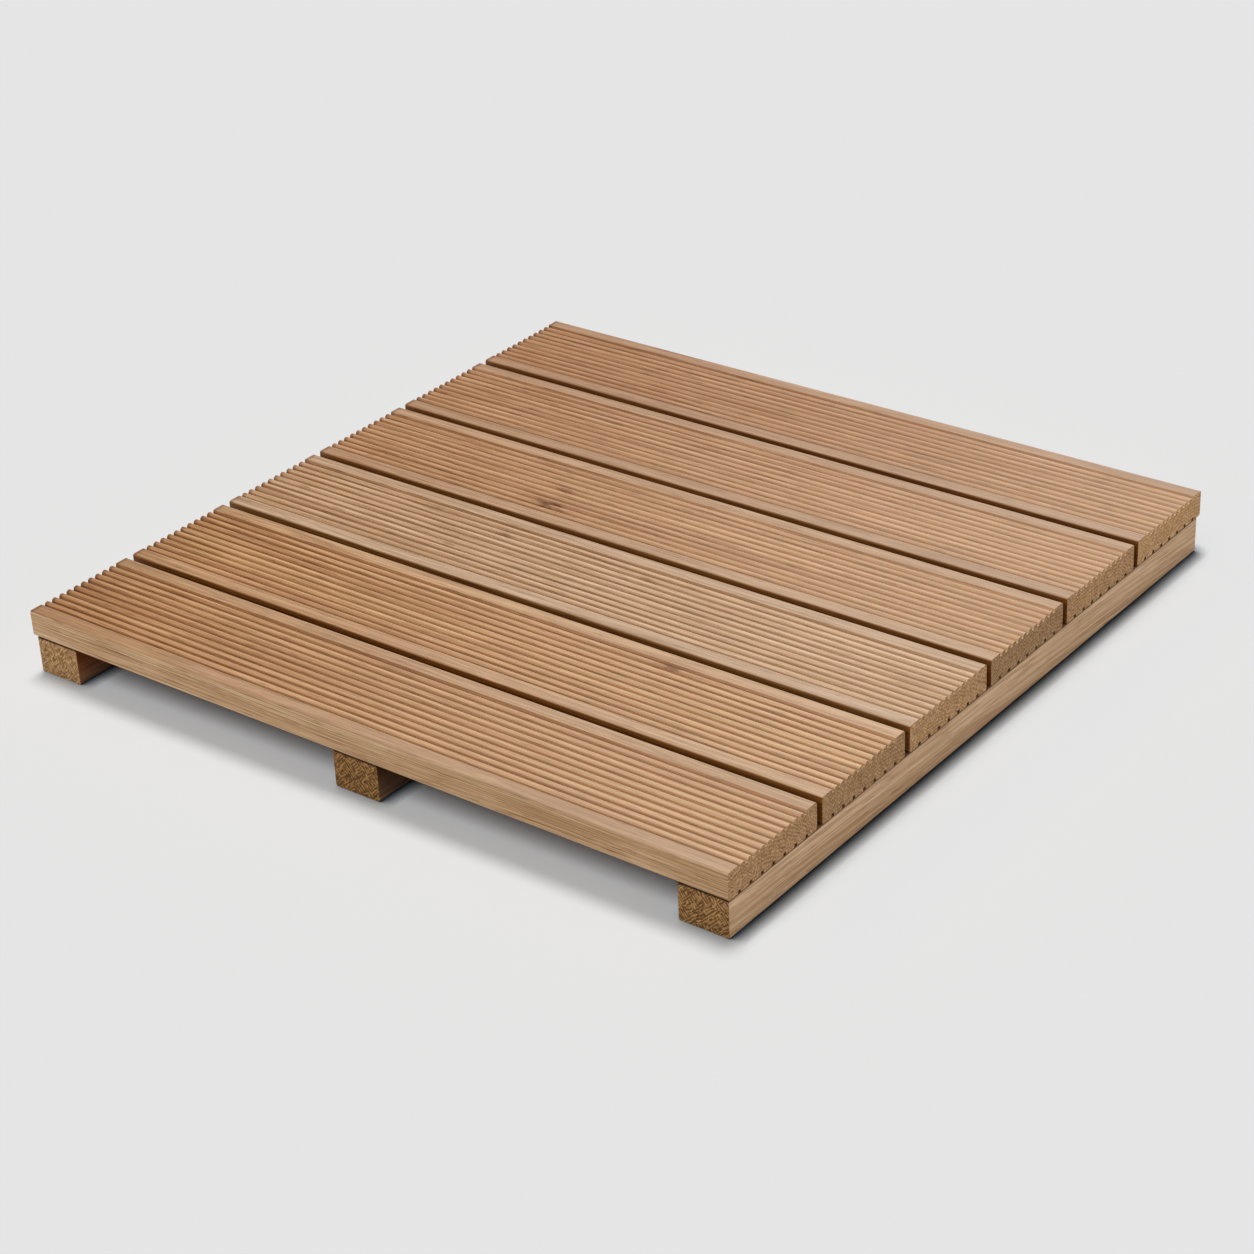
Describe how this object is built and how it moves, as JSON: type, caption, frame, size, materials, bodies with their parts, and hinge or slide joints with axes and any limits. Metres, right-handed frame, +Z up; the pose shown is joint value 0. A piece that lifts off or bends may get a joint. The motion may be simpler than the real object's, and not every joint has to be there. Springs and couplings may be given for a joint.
{
  "type": "deck tile",
  "caption": "Square timber deck tile of ribbed boards, laid side by side with drainage gaps across bearers and screwed to them from below.",
  "frame": {"origin": "on the ground under the middle of the boards", "axes": "+X along the boards to the right, +Y across the boards from front to back, +Z up through the walking face"},
  "size_m": [0.6, 0.6, 0.048],
  "materials": {
    "board_timber": "planed and moulded hardwood, unfinished, fine straight grain",
    "bearer_timber": "planed hardwood, unfinished, ends rough from the saw",
    "screw_steel": "plain stainless steel"
  },
  "bodies": {
    "root": {"deck_board_1": "board_timber", "deck_board_2": "board_timber", "deck_board_3": "board_timber", "deck_board_4": "board_timber", "deck_board_5": "board_timber", "deck_board_6": "board_timber", "left_bearer": "bearer_timber", "middle_bearer": "bearer_timber", "right_bearer": "bearer_timber", "bearer_screws": "screw_steel"}
  },
  "joints": []
}
